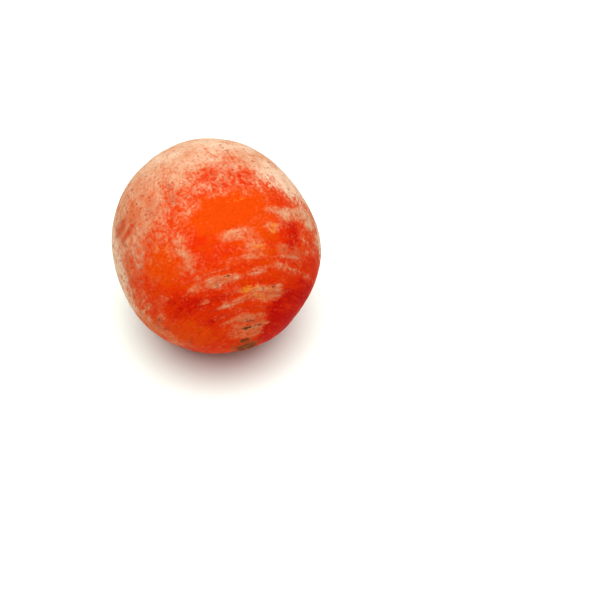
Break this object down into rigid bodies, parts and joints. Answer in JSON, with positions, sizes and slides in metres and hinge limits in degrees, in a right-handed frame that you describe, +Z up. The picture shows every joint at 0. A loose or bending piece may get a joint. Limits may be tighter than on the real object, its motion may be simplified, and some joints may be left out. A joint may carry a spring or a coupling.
{
  "type": "beetroot",
  "caption": "Round golden beetroot, topped and lying on its side on a small flat spot, with a trimmed crown and a short cut taproot.",
  "frame": {"origin": "middle of the small flat spot the root rests on", "axes": "+Z up, taproot towards -Y and a little below the level, crown towards +Y"},
  "size_m": [0.0717, 0.0771, 0.0715],
  "materials": {
    "beet_skin": "satin"
  },
  "bodies": {
    "root": {"beetroot": "beet_skin"}
  },
  "joints": []
}
